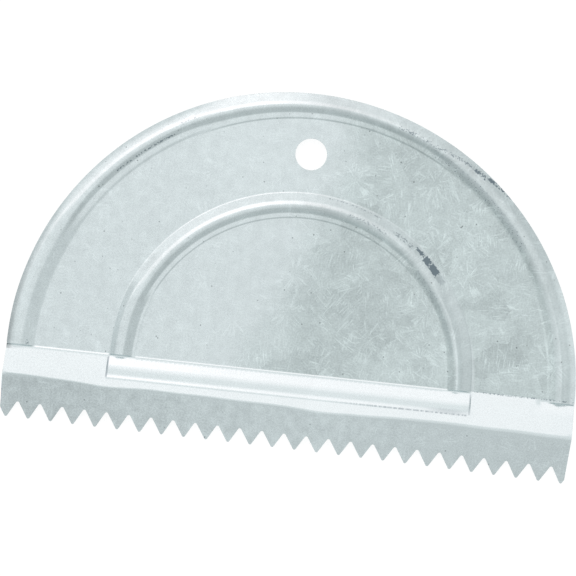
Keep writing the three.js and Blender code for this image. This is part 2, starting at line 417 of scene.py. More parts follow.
def front_height(x, y):
    along, above = to_press(x, y)
    below = -above - upper_bend_drop(along, above)
    arc = np.hypot((along - ARC_SHIFT) * squeeze(above), above + ARC_CENTRE_DEPTH) - ARC_FOOT_RADIUS
    arc_angle = np.degrees(np.arctan2(above + ARC_CENTRE_DEPTH, along - ARC_SHIFT))
    rim = rim_ring(along, above) - RIM_FOOT_RADIUS
    rim_angle = np.degrees(np.arctan2(above + RIM_CENTRE_DEPTH, along))
    ribs = rib_height(arc, arc_angle, RIB_SECTION, ARC_OTHER)
    ribs += rib_height(rim, rim_angle, RIM_SECTION, RIM_OTHER)
    ribs *= 1.0 - smooth_step(below, 0.0, RIB_END_RUN)
    bar_knots = [(down, rise - BAND_SLOPE * down, turn) for down, rise, turn in BAR_SECTION]
    bar = section_height(below, [*bar_knots, BAR_FOOT])
    bar += section_height(below, LIP_SECTION) * (1.0 - smooth_step(along, *LIP_FADE_SPAN))
    return SHEET_THICKNESS + sheet_height(x, y) + ribs + bar * on_bar(along)


def slopes(height, x, y, step=0.01):
    """Slopes of a height function along X and Y."""
    along_x = (height(x + step, y) - height(x - step, y)) / (2.0 * step)
    along_y = (height(x, y + step) - height(x, y - step)) / (2.0 * step)
    return along_x, along_y


def back_height(x, y):
    """The back lies one thickness behind the front, and turns more softly than the front does."""
    reach = BACK_SOFTNESS
    near = [(reach * math.cos(turn), reach * math.sin(turn)) for turn in np.arange(6) * math.pi / 3.0]
    around = [front_height(x + dx, y + dy) for dx, dy in near]
    soft = (np.mean(around, axis=0) + front_height(x, y)) / 2.0
    across = (around[0] - around[3]) / (2.0 * reach)
    up = ((around[1] + around[2]) - (around[4] + around[5])) / (4.0 * near[1][1])
    return soft - SHEET_THICKNESS * np.sqrt(1.0 + across ** 2 + up ** 2)


# Outline of the blank


def outline_radius(angle):
    lobes = OUTLINE_LOBE * np.cos(OUTLINE_LOBES * (angle - math.radians(OUTLINE_LOBE_ANGLE)))
    trim = OUTLINE_LEFT_TRIM * smooth_step(angle, OUTLINE_TRIM_START, math.pi)
    return BLANK_RADIUS + lobes - trim - OUTLINE_FLAT * np.sin(angle) ** 2


def arc_points(centre, radius, start, stop, count):
    angles = np.linspace(start, stop, count)
    return [(centre[0] + radius * math.cos(a), centre[1] + radius * math.sin(a)) for a in angles]


def tooth_row():
    """Teeth from left to right in the strip's plane: each has a rounded tip and a rounded root.

    The row is stretched a little at both ends, where its teeth are longer too.
    """
    half = math.radians(TOOTH_ANGLE / 2.0)
    rounding = 1.0 / math.sin(half) - 1.0
    sharp_depth = TOOTH_PITCH / 2.0 / math.tan(half)
    depth = sharp_depth - (TIP_RADIUS + ROOT_RADIUS) * rounding
    tip_y = TIP_RADIUS - STRIP_LENGTH
    root_y = depth - STRIP_LENGTH - ROOT_RADIUS
    pitches = math.ceil(BLANK_RADIUS / TOOTH_PITCH) + 1
    points = []
    for i in range(-pitches, pitches):
        tip_x = TOOTH_ROW_SHIFT + (i + 0.5) * TOOTH_PITCH
        points += arc_points((tip_x, tip_y), TIP_RADIUS, math.pi + half, math.tau - half, TOOTH_ARC_POINTS)
        root_x = tip_x + TOOTH_PITCH / 2.0
        root_x += ROOT_SHIFT * float(smooth_step(root_x, *ROOT_SHIFT_SPAN))
        points += arc_points((root_x, root_y), ROOT_RADIUS, math.pi - half, half, TOOTH_ARC_POINTS)
    return [bend_tooth_row(x, y, (root_y - y) / depth) for x, y in points]


def bend_tooth_row(x, y, depth_share):
    sag = TOOTH_ROW_SAG * (1.0 - float(bell(x, TOOTH_ROW_SAG_MIDDLE, TOOTH_ROW_SAG_WIDTH)))
    share = ROOT_SAG_SHARE + (1.0 - ROOT_SAG_SHARE) * depth_share
    return x + TOOTH_ROW_STRETCH * (x / BLANK_RADIUS) ** 3, y - sag * share


def cut_row(points, left, right):
    """The stretch of a row of points between two ends, with a point at each end."""
    kept = []
    for (x0, y0), (x1, y1) in zip(points, points[1:]):
        for end in (left, right):
            if x0 < end < x1:
                kept.append((end, y0 + (y1 - y0) * (end - x0) / (x1 - x0)))
        if left < x1 < right:
            kept.append((x1, y1))
    return kept


def divide(points, longest):
    """Splits each side of a closed outline into lengths of at most the longest."""
    divided = []
    for (x0, y0), (x1, y1) in zip(points, [*points[1:], points[0]]):
        count = max(1, math.ceil(math.hypot(x1 - x0, y1 - y0) / longest))
        divided += [(x0 + (x1 - x0) * i / count, y0 + (y1 - y0) * i / count) for i in range(count)]
    return np.array(divided)


def outer_outline():
    right = OUTLINE_SHIFT + float(outline_radius(0.0))
    left = OUTLINE_SHIFT - float(outline_radius(math.pi))
    teeth = cut_row(tooth_row(), left, right)
    bottom = [(x, -LOWER_BEND_DEPTH + y * STRIP_COSINE) for x, y in teeth]
    angles = np.linspace(0.0, math.pi, ROUND_EDGE_POINTS)
    radii = outline_radius(angles)
    top = list(zip(OUTLINE_SHIFT + radii * np.cos(angles), radii * np.sin(angles)))
    return divide([*bottom, *top], LONGEST_SIDE)


def hole_ring(distance, count):
    """Points around the hole, at a distance from its edge."""
    return np.array(arc_points((HOLE_X, HOLE_Y), HOLE_RADIUS + distance, math.tau, 0.0, count + 1)[:-1])


def inset(points, distance):
    """A closed outline moved to its left by a small distance."""
    ahead = np.roll(points, -1, axis=0) - points
    behind = points - np.roll(points, 1, axis=0)
    ahead /= np.linalg.norm(ahead, axis=1)[:, None]
    behind /= np.linalg.norm(behind, axis=1)[:, None]
    along = ahead + behind
    along /= np.linalg.norm(along, axis=1)[:, None]
    left = np.stack([-along[:, 1], along[:, 0]], axis=1)
    return points + distance * left / np.clip(np.sum(along * ahead, axis=1), 0.5, 1.0)[:, None]


# Points of the net: close together where the sheet turns, and far apart where it is flat


def merge_columns(*groups, least=COLUMN_GAP):
    """All the places in order, without those that lie too close behind another."""
    merged = []
    for column in sorted(np.concatenate(groups)):
        if not merged or column - merged[-1] > least:
            merged.append(column)
    return np.array(merged)


def section_stations(knots):
    """Distances from a foot, close enough together to draw each turn of a section."""
    turns = [start + half_turn * share for start, _, half_turn in knots for share in TURN_SHARES]
    return merge_columns(turns, np.arange(knots[0][0], knots[-1][0], STATION_SPACING), least=STATION_GAP)


def ring_net(foot_radius, stations, centre_depth, shift_of, squeeze_of, count):
    """Rings of points above the upper bend line."""
    low = math.asin(centre_depth / foot_radius)
    angles = np.linspace(low, math.pi - low, count)
    radii = foot_radius + stations
    radius, angle = np.meshgrid(radii, angles)
    above = radius * np.sin(angle) - centre_depth
    along = shift_of(radius) + radius * np.cos(angle) / squeeze_of(above)
    return np.stack([along.ravel(), above.ravel()], axis=1)


def rim_shift(radius):
    return RIM_FOOT_SHIFT * (1.0 - np.clip((radius - RIM_FOOT_RADIUS) / RIM_SHIFT_RUN, 0.0, 1.0))


def ring_crossings(foot_radius, stations, centre_depth, shift_of, squeeze_of):
    """Where the rings cross the upper bend line, along it."""
    radii = foot_radius + stations
    reach = np.sqrt(radii ** 2 - centre_depth ** 2) / squeeze_of(0.0)
    return np.concatenate([shift_of(radii) + reach, shift_of(radii) - reach])


def grid(columns, rows):
    x, y = np.meshgrid(columns, rows)
    return np.stack([x.ravel(), y.ravel()], axis=1)


def press_points():
    """All points that follow the press: the ribs, the plate between them, the upper bend and the bar."""
    stations = section_stations(RIB_SECTION)
    rim_stations = merge_columns(section_stations(RIM_SECTION), RIM_FIRST_STATIONS)
    arc_frame = (ARC_CENTRE_DEPTH, lambda radius: np.full_like(radius, ARC_SHIFT), squeeze)
    rim_frame = (RIM_CENTRE_DEPTH, rim_shift, lambda above: 1.0)
    rings = np.concatenate([
        ring_net(ARC_FOOT_RADIUS, stations, *arc_frame, ARC_ROWS),
        ring_net(RIM_FOOT_RADIUS, rim_stations, *rim_frame, RIM_ROWS),
        ring_net(ARC_FOOT_RADIUS, INNER_STATIONS, *arc_frame, INNER_ROWS),
        ring_net(ARC_FOOT_RADIUS, OUTER_STATIONS, *arc_frame, OUTER_ROWS),
        plate_points(),
    ])
    crossings = merge_columns(
        ring_crossings(ARC_FOOT_RADIUS, stations, *arc_frame),
        ring_crossings(RIM_FOOT_RADIUS, rim_stations, *rim_frame),
        np.arange(-BEND_HALF_LENGTH, BEND_HALF_LENGTH + 0.1, COLUMN_SPACING),
        END_STEP_COLUMNS,
    )
    band = grid(BAND_COLUMNS[np.abs(BAND_COLUMNS) > BAND_NET_START], BAND_ROWS)
    rings = rings[rings[:, 1] > RINGS_LOWEST]
    points = np.concatenate([rings, grid(crossings, BEND_ROWS), bar_points(), band])
    return np.stack(from_press(points[:, 0], points[:, 1]), axis=1)


def plate_points():
    points = grid(PLATE_COLUMNS, PLATE_ROWS)
    return points[np.hypot(points[:, 0] - ARC_SHIFT, points[:, 1]) < ARC_FOOT_RADIUS - PLATE_NET_GAP]


def bar_points():
    ends = BAR_HALF_LENGTH + BAR_END_COLUMNS
    length = np.arange(-BAR_NET_HALF_LENGTH, BAR_NET_HALF_LENGTH + 0.6, COLUMN_SPACING)
    columns = merge_columns(ends + ARC_SHIFT, ARC_SHIFT - ends, length, least=BAR_COLUMN_GAP)
    rows = -section_stations([*BAR_SECTION, BAR_FOOT])
    return grid(columns, rows[rows < BAR_TOP_ROW])


def strip_points():
    """Points that follow the lower bend, and a few on the flat strip."""
    columns = LOWER_BEND_COLUMNS
    turn = np.maximum(lower_turn(columns), LOWER_BEND_LEAST_TURN)
    rows = [lower_bend_line(columns) - share * turn for share in LOWER_BEND_SHARES]
    groups = [np.stack([columns, row], axis=1) for row in rows]
    return np.concatenate([*groups, grid(STRIP_COLUMNS, STRIP_ROWS)])


def inside_blank(points, margin):
    """Which points lie in the blank by at least the margin, clear of the hole and above the teeth."""
    x, y = points[:, 0], points[:, 1]
    radius, angle = np.hypot(x - OUTLINE_SHIFT, y), np.arctan2(y, x - OUTLINE_SHIFT)
    in_round = (y <= 0.0) | (radius < outline_radius(angle) - margin)
    right, left = outline_radius(0.0), outline_radius(math.pi)
    in_sides = (x - OUTLINE_SHIFT < right - margin) & (x - OUTLINE_SHIFT > margin - left)
    clear = np.hypot(x - HOLE_X, y - HOLE_Y) > HOLE_RADIUS + margin
    return in_round & in_sides & clear & (y > NET_LOWEST)


def triangulate(loops, points):
    """Triangles over the blank, which lies to the left of each loop."""
    corners = np.concatenate([*loops, points])
    starts = np.cumsum([0, *map(len, loops)])
    edges = [
        (starts[k] + i, starts[k] + (i + 1) % len(loop))
        for k, loop in enumerate(loops)
        for i in range(len(loop))
    ]
    _, _, triangles, origins, _, _ = delaunay_2d_cdt([tuple(c) for c in corners], edges, [], 0, 1e-6, True)
    old = np.array([origin[0] for origin in origins])
    triangles = old[np.array([t for t in triangles])]
    ascending = np.sum(np.roll(triangles, -1, axis=1) > triangles, axis=1) == 2
    outside = np.zeros(len(triangles), dtype=bool)
    for first, past in zip(starts, starts[1:]):
        on_loop = np.all((triangles >= first) & (triangles < past), axis=1)
        outside |= on_loop & ~ascending
    return corners, triangles[~outside]


# The sheet as one closed mesh


def unit_normals(across, up, side):
    normals = np.stack([-across, -up, np.ones_like(across)], axis=1) * side
    return normals / np.linalg.norm(normals, axis=1)[:, None]


def build_sheet():
    """The sheet: a front and a back on the same net, joined by a wall with rounded edges."""
    loops = [outer_outline(), hole_ring(0.0, HOLE_POINTS)]
    insets = [inset(loop, EDGE_ROUNDING) for loop in loops]
    hole_rings = [hole_ring(distance, HOLE_RING_POINTS) for distance in HOLE_RINGS]
    points = np.concatenate([press_points(), strip_points(), *hole_rings])
    points = points[inside_blank(points, NET_MARGIN)]
    net, triangles = triangulate(insets, points)

    across, up = slopes(front_height, net[:, 0], net[:, 1])
    front = np.column_stack([net, front_height(net[:, 0], net[:, 1])])
    front_normals = unit_normals(across, up, 1.0)

    lean = tilt_of_sheet(net)
    behind = net + SHEET_THICKNESS * lean
    back = np.column_stack([behind, back_height(behind[:, 0], behind[:, 1])])
    across, up = slopes(back_height, behind[:, 0], behind[:, 1], BACK_SLOPE_STEP)
    back_normals = unit_normals(across, up, -1.0)

    places, normals = [front, back], [front_normals, back_normals]
    faces = [triangles, triangles[:, ::-1] + len(front)]
    count = 2 * len(front)
    start = 0
    for loop in loops:
        size = len(loop)
        top = np.column_stack([loop, front_height(loop[:, 0], loop[:, 1])])
        under = loop + SHEET_THICKNESS * tilt_of_sheet(loop)
        bottom = np.column_stack([under, back_height(under[:, 0], under[:, 1])])
        outward = np.column_stack([loop - inset(loop, EDGE_ROUNDING), np.zeros(size)])
        outward /= np.linalg.norm(outward, axis=1)[:, None]
        share = EDGE_ROUNDING / SHEET_THICKNESS
        places += [top + (bottom - top) * share, bottom + (top - bottom) * share]
        normals += [outward, outward]
        ids = np.arange(size)
        rows = [start + ids, count + ids, count + size + ids, len(front) + start + ids]
        for upper, lower in zip(rows, rows[1:]):
            quads = np.stack([lower, np.roll(lower, -1), np.roll(upper, -1), upper], axis=1)
            faces += [quads[:, [0, 1, 2]], quads[:, [0, 2, 3]]]
        count += 2 * size
        start += size
    return np.concatenate(places), np.concatenate(faces), np.concatenate(normals)


def tilt_of_sheet(points):
    """How far to the side the back lies behind the front, over the thickness, where band and strip lean."""
    reach = 1.5
    ahead = sheet_height(points[:, 0], points[:, 1] + reach)
    behind = sheet_height(points[:, 0], points[:, 1] - reach)
    slope = (ahead - behind) / (2.0 * reach)
    return np.column_stack([np.zeros_like(slope), slope / np.sqrt(1.0 + slope ** 2)])


def to_part(points):
    """From the blank's frame in millimetres to the part's in metres, with the lowest point on the floor."""
    offset = np.array([0.0, BLANK_CENTRE_Y, -points[:, 2].min()])
    return (points + offset) * METRES


def make_sheet(material):
    places, faces, normals = build_sheet()
    mesh = bpy.data.meshes.new("sheet")
    mesh.from_pydata(to_part(places).tolist(), [], faces.tolist())
    mesh.shade_smooth()
    mesh.normals_split_custom_set_from_vertices(normals.tolist())
    mesh.materials.append(material)
    sheet = bpy.data.objects.new("pressed_sheet", mesh)
    bpy.context.scene.collection.objects.link(sheet)
    return sheet, places


# Shader nodes: sums and products of fields build the nodes that work them out


class Field:
    """A number that varies over a surface or with a direction."""

    def __init__(self, graph, socket):
        self.graph = graph
        self.socket = socket

    def __add__(self, other):
        return self.graph.math("ADD", self, other)

    def __radd__(self, other):
        return self.graph.math("ADD", other, self)

    def __sub__(self, other):
        return self.graph.math("SUBTRACT", self, other)

    def __rsub__(self, other):
        return self.graph.math("SUBTRACT", other, self)

    def __mul__(self, other):
        return self.graph.math("MULTIPLY", self, other)

    def __rmul__(self, other):
        return self.graph.math("MULTIPLY", other, self)

    def __truediv__(self, other):
        return self.graph.math("DIVIDE", self, other)

    def __rtruediv__(self, other):
        return self.graph.math("DIVIDE", other, self)

    def __pow__(self, other):
        return self.graph.math("POWER", self, other)

    def __neg__(self):
        return self.graph.math("MULTIPLY", self, -1.0)

    def __abs__(self):
        return self.graph.math("ABSOLUTE", self)

    def clamp(self, low, high):
        return self.graph.math("MINIMUM", self.graph.math("MAXIMUM", self, low), high)

    def step(self, low, high):
        """0 below low, 1 above high, and smooth between."""
        inputs = {"Value": self, "From Min": low, "From Max": high}
        return self.graph.node("ShaderNodeMapRange", inputs, interpolation_type="SMOOTHSTEP")

    def bell(self, middle, width):
        """1 at the middle, and a third of that one width away."""
        distance = (self - middle) / width
        return self.graph.math("EXPONENT", -(distance * distance))

    def between(self, low, high, soft):
        """1 between two values, and 0 a little outside them."""
        return self.step(low - soft, low + soft) * (1.0 - self.step(high - soft, high + soft))


class Graph:
    """Adds nodes to a node tree, and links or sets their inputs."""

    def __init__(self, tree):
        self.tree = tree
        tree.nodes.clear()

    def node(self, kind, inputs=None, output=0, **settings):
        made = self.tree.nodes.new(kind)
        for name, value in settings.items():
            setattr(made, name, value)
        for name, value in (inputs or {}).items():
            self.set(made.inputs[name], value)
        return Field(self, made.outputs[output]) if made.outputs else None

    def set(self, socket, value):
        if isinstance(value, Field):
            self.tree.links.new(value.socket, socket)
        else:
            socket.default_value = value

    def math(self, operation, *values):
        made = self.tree.nodes.new("ShaderNodeMath")
        made.operation = operation
        for socket, value in zip(made.inputs, values):
            self.set(socket, value)
        return Field(self, made.outputs[0])

    def vector(self, x, y, z=0.0):
        return self.node("ShaderNodeCombineXYZ", {"X": x, "Y": y, "Z": z})

    def parts(self, vector):
        return [self.node("ShaderNodeSeparateXYZ", {"Vector": vector}, output=i) for i in range(3)]

    def noise(self, vector, scale, detail=2.0, rough=0.5):
        inputs = {"Vector": vector, "Scale": scale, "Detail": detail, "Roughness": rough}
        return self.node("ShaderNodeTexNoise", inputs, noise_dimensions="3D")

    def blend(self, share, first, second):
        """Between two colours."""
        inputs = {"Factor": share, 6: first, 7: second}
        return self.node("ShaderNodeMix", inputs, output=2, data_type="RGBA")


def colour(red, green, blue):
    """A colour as it looks on a screen, from 0 to 255, as the shader's own values."""
    shares = [value / 255.0 for value in (red, green, blue)]
    linear = [s / 12.92 if s <= 0.04045 else ((s + 0.055) / 1.055) ** 2.4 for s in shares]
    return (*linear, 1.0)


# Galvanised steel: places in millimetres, angles in degrees, and tones from 0 for dark to 1 for bright
ZINC_TONE = 0.957
ZINC_SCALE = 0.9
# Painted shade: how much darker the zinc is drawn right of the slanting line
DULL_SHADE_TONE = -0.185
WORN_TONE = -0.03
SPECK_TONE = -0.5
CREST_TONE = -0.11
PATCH_TONE = 0.04
DARKEST_ZINC = (40, 48, 52)
BRIGHT_ZINC = (229.5, 240.5, 242.5)
BRIGHT_DULL_ZINC = (226.5, 240.5, 241.0)
# Bare steel, which is also the colour of the painted shade along the bar
BARE_STEEL_AND_SHADE = (124, 138, 146)
PLATE_EDGE = (-0.1, 0.1)
STRIP_EDGE = (-10.0, -9.2)

# Tone of the strip's zinc: painted shade makes it darker, less so around its middle and right of its left
# end
STRIP_SHADE_TONE = -0.09
STRIP_MIDDLE = (10.0, 45.0)
STRIP_MIDDLE_TONE = 0.06
STRIP_LEFT_END = (-75.0, -50.0)
STRIP_RIGHT_TONE = 0.07

# Scales of the noises, for each millimetre, and how much they change the tone
MOTTLE_SCALE = 0.3
MOTTLE_TONE = 0.22
MOTTLE_BAND_SHARE = 0.25
MOTTLE_PLATE_SHARE = 0.75
MOTTLE_STRIP_SHARE = 1.6
MOTTLE_STRIP_FADE = (10.0, 60.0)
DRAWN_SCALES = (1.1, 0.12)
DRAWN_TONE = 0.07
FINE_SCALE = 1.9
FINE_TONE = 0.3
FINE_FADE = 0.12
FINE_FADE_SPAN = (-40.0, 0.0)
FINE_PLATE_TONE = 0.04
FINE_DULL_TONE = 0.2
FINE_STRIP_TONE = 0.2
CLOUD_SCALE = 0.07
SPARSE_SCALE = 0.13
SPECK_SCALE = 0.34
SPECK_RADII = (0.05, 0.11)
CLUMP_SCALE = 0.45
RAGGED_SCALE = 1.3
DOT_SCALE = 1.5
PEPPER_SCALE = 3.2
TICK_SCALE = 1.3

# Where the ribs rise, past their feet, and the dark stretch of their crests around a place along X
ARC_RISE = (2.0, RIB_WIDTH, 0.4)
RIM_RISE = (1.6, 2.4)
ARC_CREST = (3.0, 4.6, 0.4)
RIM_CREST = (2.8, 3.4)
CREST_PLACE = (5.0, 9.0)

# Roughness of the steel, what changes it, and the depth of its grain in metres
ROUGHNESS = 0.22
ROUGH_DULL = 0.08
ROUGH_WORN = 0.08
ROUGH_SPANGLE = -0.03
ROUGH_MOTTLE = 0.04
ROUGH_MARKS = 0.15
GRAIN_DEPTH = 0.00003

# Zinc turns duller and rougher to the right of a slanting line that clouds bend, and is painted darker there
# as shade
DULL_SHADE_LINE = (-13.0, 11.0)
DULL_SHADE_LINE_SHIFT = 6.0
DULL_SHADE_LINE_SLANT = 0.32
DULL_SHADE_LINE_HEIGHT = 15.0
DULL_SHADE_LINE_CLOUD = 26.0
DULL_SHADE_ON_RIBS = 0.35
WORN_SPAN = (-6.0, 12.0)

# Zinc's grains: their sizes, seeds and tones
GRAIN_SIZE = 12.0
FINE_GRAIN_SIZE = 7.0
FINE_GRAIN_SHIFT = 31.0
FAN_SIZE = 14.0
GRAIN_SEEDS = (0.0, 5.0, 9.0)
GRAIN_TONES = (0.02, 0.1)
FINE_GRAIN_TONE = 0.07
SPANGLE_TONE = 0.02
SPANGLE_SPARSE_TONE = 0.07
SPANGLE_DULL_TONE = 0.1

# Brighter and darker patches of the plate: along X a middle and a width, then along Y
BRIGHT_PATCH = (-20.0, 16.0, 66.0, 12.0)
DARK_PATCH = (62.0, 16.0, 38.0, 16.0)

# Painted shade on the rim's outer flank near the round edge at the left: radii, angles and tone
LEFT_FLANK_SHADE = [
    (87.5, 88.7, 146.0, 172.0, -0.26),
    (86.3, 88.5, 171.0, 177.0, -0.1),
]

# Painted highlights (a positive tone) and painted shade (a negative tone) along the ribs: radius, width,
# first angle, last angle, fade and tone
ARC_PAINTED_LIGHT = [
    (53.0, 0.8, -90.0, 16.0, 12.0, 0.18),
    (52.6, 0.9, 60.0, 76.0, 6.0, 0.13),
    (57.0, 0.9, 143.0, 149.0, 3.0, -0.1),
]
RIM_PAINTED_LIGHT = [
    (86.75, 0.8, 156.0, 174.0, 5.0, 0.05),
    (84.0, 0.9, 147.0, 153.0, 3.0, -0.12),
    (86.8, 1.2, 46.0, 58.0, 5.0, -0.11),
]

# Painted highlights: bright lines at the feet and on the flanks of the right legs: radii and fade, last
# angle and fade, tone
ARC_HIGHLIGHT_LINES = [(49.0, 49.8, 0.15, 17.0, 3.0, 0.06)]
RIM_HIGHLIGHT_LINES = [
    (81.5, 82.3, 0.15, 24.0, 4.0, 0.08),
    (82.65, 99.0, 0.35, 22.0, 10.0, 0.07),
    (88.2, 99.0, 0.6, 35.0, 7.0, 0.05),
]

# Marks where the press rubbed the zinc off: radii, angles, how ragged and how strong
ARC_BLOCKS = [
    (55.5, 57.8, 40.8, 44.5, 1.0, 1.0),
    (55.6, 57.8, 45.0, 47.6, 1.0, 1.0),
    (56.6, 57.6, 48.1, 51.5, 1.0, 1.0),
    (51.0, 52.2, 14.0, 34.0, 1.0, 0.15),
    (55.5, 57.5, 37.2, 40.4, 1.0, 0.3),
]
ARC_DOTS = [
    (54.0, 54.9, 62.0, 76.0, 1.0, 0.5),
    (57.5, 57.9, 66.0, 83.0, 0.3, 0.5),
    (55.7, 56.9, 52.0, 60.0, 1.0, 0.55),
]
ARC_PEPPER = [(51.0, 52.6, 34.0, 46.0, 1.0, 1.0)]
RIM_DOTS = [
    (84.2, 84.7, 121.0, 136.0, 0.2, 0.8),
    (86.6, 87.0, 114.5, 119.0, 0.2, 0.5),
]
RIM_PEPPER = [(83.0, 85.2, 34.0, 63.0, 1.0, 1.0)]

# The rim's blocks and their dots drift outwards below an angle, by so much for each degree
DRIFT_START = 64.0
DRIFT = 0.2
DRIFTED_BLOCKS = [
    (85.7, 86.7, 49.2, 50.8, 1.0, 1.0),
    (85.3, 86.3, 52.8, 54.1, 1.0, 1.0),
]
DRIFTED_DOTS = [
    (85.7, 86.7, 46.0, 49.0, 1.0, 1.0),
    (85.0, 86.2, 51.0, 52.0, 1.0, 1.0),
]
DRIFTED_CLUMPS = [(85.6, 86.6, 44.0, 72.0, 1.0, 0.7)]

# Marks along the bends, and painted shade along the bar's foot: lowest, highest and fade, then left, right
# and fade, then how strong
BEND_DOTS = [
    (-0.3, 0.15, 0.1, 58.4, 90.0, 0.5, 0.8),
    (0.2, 1.6, 0.2, -83.4, -82.4, 0.2, 0.7),
]
BAR_SHADE = [(-7.7, -6.2, 0.4, 46.0, 56.0, 4.0, 0.3)]
# Painted shade on the bar's end walls, darker at the left end, and a broken line of painted shade along the
# bar's foot
BAR_END_SPAN = (57.0, 57.6, 0.1)
BAR_END_HEIGHT = (-7.4, -0.9, 0.3)
BAR_END_STRENGTHS = (0.6, 0.35)
BAR_END_TURN = (-20.0, 20.0)
BAR_FOOT_SHADE_HEIGHT = (-7.8, -7.3, 0.15)
BAR_FOOT_SHADE_START = (10.0, 34.0)
BAR_FOOT_SHADE_STOP = (56.4, 57.2)


def press_fields(graph):
    """The blank's X and Y and the press's two, in millimetres, from the object's own coordinates."""
    place = graph.node("ShaderNodeTexCoord", output="Object")
    across, up, _ = graph.parts(place)
    x = across / METRES
    y = up / METRES - BLANK_CENTRE_Y
    return x, y, *to_press(x, y)


def polar(graph, across, up):
    """Distance from a centre, and the angle around it in degrees."""
    radius = (across * across + up * up) ** 0.5
    return radius, graph.math("ARCTAN2", up, across) * math.degrees(1.0)


def needle_grains(graph, x, y, seed, size):
    """Spangle: grains of zinc, each with fine parallel needles in a direction of its own."""
    bend = graph.noise(graph.vector(x, y, seed), 0.14, 2.0) - 0.5
    place = graph.vector(x + bend * size * 0.6, y - bend * size * 0.6, seed)
    inputs = {"Vector": place, "Scale": 1.0 / size}
    grain = graph.node("ShaderNodeTexVoronoi", inputs, output="Color", voronoi_dimensions="3D")
    pick, second, _ = graph.parts(grain)
    angle = pick * math.tau
    sine = graph.math("SINE", angle)
    cosine = graph.math("COSINE", angle)
    along = x * cosine + y * sine
    across = y * cosine - x * sine
    strokes = graph.noise(graph.vector(across * 2.4, along * 0.22, second * 40.0), 1.0, 1.0)
    cluster = graph.noise(graph.vector(across * 0.3, along * 0.18, pick * 30.0 + 7.0), 1.0, 1.0)
    return strokes.step(0.52, 0.64) * cluster.step(0.46, 0.6), second


def needle_fans(graph, x, y, seed, size):
    """Spangle: needles that spread from the middle of some grains."""
    place = graph.vector(x, y, seed)
    inputs = {"Vector": place, "Scale": 1.0 / size}
    middle = graph.node("ShaderNodeTexVoronoi", inputs, output="Position", voronoi_dimensions="3D")
    pick = graph.node("ShaderNodeTexVoronoi", inputs, output="Color", voronoi_dimensions="3D")
    share, _, _ = graph.parts(pick)
    middle_x, middle_y, _ = graph.parts(middle)
    out_x = x - middle_x
    out_y = y - middle_y
    reach = (out_x * out_x + out_y * out_y) ** 0.5
    turn = 5.5 / reach.clamp(0.05, 99.0)
    spread = graph.noise(graph.vector(out_x * turn, out_y * turn, reach * 0.15 + share * 30.0), 1.0, 1.0)
    return spread.step(0.54, 0.64) * reach.between(0.8, size * 0.45, 0.6) * share.step(0.5, 0.55)


def ring_marks(ring, ragged, rows):
    """Ragged marks, each between two radii and two angles of a ring."""
    radius, angle = ring
    marks = []
    for inner, outer, low, high, ragged_share, strength in rows:
        edge = ragged * ragged_share
        radial = (radius + edge * 1.3).between(inner, outer, 0.1)
        marks.append(radial * (angle + edge * 3.5).between(low, high, 0.2) * strength)
    return marks


def straight_marks_and_shade(along, above, rows):
    return [
        above.between(low, high, soft) * along.between(left, right, fade) * strength
        for low, high, soft, left, right, fade, strength in rows
    ]


def total(fields):
    first, *others = fields
    for field in others:
        first = first + field
    return first


def highest(graph, fields):
    highest_yet = fields[0]
    for field in fields[1:]:
        highest_yet = graph.math("MAXIMUM", highest_yet, field)
    return highest_yet


def press_marks_and_shade(graph, flat, along, above, arc, rim):
    """Where the press rubbed the zinc off, and painted shade along the bar's foot and on its end walls, and
    how strongly.
    """
    ragged = graph.noise(flat, RAGGED_SCALE, 2.0) - 0.5
    dots = graph.noise(flat, DOT_SCALE, 1.0).step(0.49, 0.56)
    fine_dots = graph.noise(flat, PEPPER_SCALE, 0.0).step(0.62, 0.68)
    ticks = graph.noise(graph.vector(along * TICK_SCALE, 11.0), 1.0, 1.0).step(0.42, 0.55)
    clumps = graph.noise(flat, CLUMP_SCALE, 1.0).step(0.42, 0.52) * 0.7 + 0.3
    rim_radius, rim_angle = rim
    drift = (DRIFT_START - rim_angle).clamp(0.0, 30.0) * DRIFT
    drifted = (rim_radius - drift, rim_angle)

    solid = ring_marks(arc, ragged, ARC_BLOCKS) + ring_marks(drifted, ragged, DRIFTED_BLOCKS)
    dotted = ring_marks(arc, ragged, ARC_DOTS) + ring_marks(rim, ragged, RIM_DOTS)
    dotted += ring_marks(drifted, ragged, DRIFTED_DOTS) + straight_marks_and_shade(along, above, BEND_DOTS)
    dotted += [mark * clumps for mark in ring_marks(drifted, ragged, DRIFTED_CLUMPS)]
    peppered = ring_marks(arc, ragged, ARC_PEPPER) + ring_marks(rim, ragged, RIM_PEPPER)
    end = abs(along - ARC_SHIFT).between(*BAR_END_SPAN)
    foot_shade_row = along.step(*BAR_FOOT_SHADE_START) * (1.0 - along.step(*BAR_FOOT_SHADE_STOP))
    left, right = BAR_END_STRENGTHS
    # Painted shade along the bar's foot and on its ends, and a faint wash over the peppered marks
    patches_and_shade = [
        *straight_marks_and_shade(along, above, BAR_SHADE),
        above.between(*BAR_END_HEIGHT) * end * (left - along.step(*BAR_END_TURN) * (left - right)),
        above.between(*BAR_FOOT_SHADE_HEIGHT) * foot_shade_row * (ticks * 0.5 + 0.1),
        *[mark * 0.15 for mark in peppered],
    ]
    rows = highest(graph, dotted) * dots
    pepper = highest(graph, peppered) * fine_dots * dots
    return highest(graph, [*solid, *patches_and_shade, rows, pepper]).clamp(0.0, 1.0)


def patch(x, y, places):
    middle_x, width_x, middle_y, width_y = places
    return x.bell(middle_x, width_x) * y.bell(middle_y, width_y)


# Painted shade on the rim's outer flank at the left
def painted_flank_shade(ring):
    radius, angle = ring
    return total(
        radius.step(inner, outer) * angle.step(low, high) * tone
        for inner, outer, low, high, tone in LEFT_FLANK_SHADE
    )


